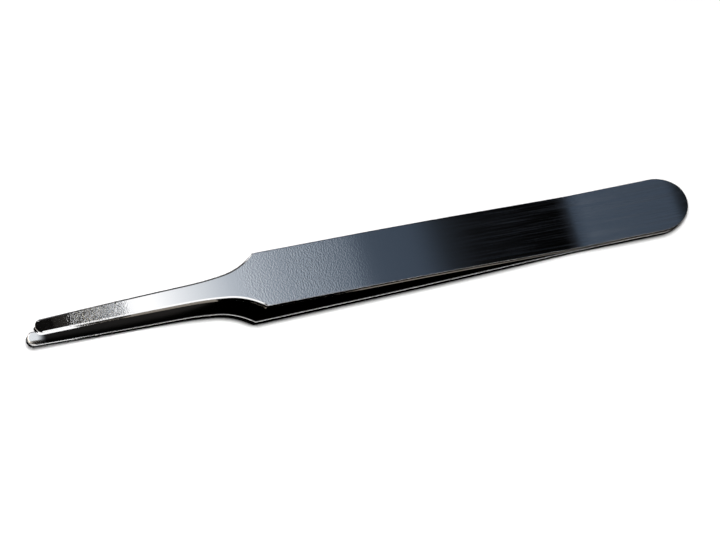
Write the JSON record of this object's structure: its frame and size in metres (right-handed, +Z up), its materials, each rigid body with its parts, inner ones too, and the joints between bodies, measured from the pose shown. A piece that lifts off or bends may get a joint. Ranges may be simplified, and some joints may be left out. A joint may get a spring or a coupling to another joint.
{
  "type": "precision tweezers",
  "caption": "Flat round-tip precision tweezers: long sprung blades welded at a round tail, parallel grip, hollow shoulders and slim tapering noses.",
  "frame": {"origin": "on the surface that the tweezers lie on, under the middle of their length and width", "axes": "+X from the tips towards the welded tail, +Y across the blades, +Z up from the surface; the closing direction is within 3 degrees of Z"},
  "size_m": [0.1201, 0.0096, 0.0108],
  "materials": {
    "upper_blade": "satin stainless steel, finely brushed lengthwise, polished nose",
    "lower_blade": "satin stainless steel, finely brushed lengthwise, polished nose"
  },
  "bodies": {
    "lower_arm": {"lower_arm": "lower_blade"},
    "upper_arm": {"upper_arm": "upper_blade"}
  },
  "joints": [
    {"name": "squeeze", "type": "hinge", "parent": "lower_arm", "child": "upper_arm", "pos_m": [0.03945, 0, 0.00218], "axis": [0, -1, 0], "range_deg": [0, 2.7], "stiffness_Nm_per_rad": 8}
  ]
}
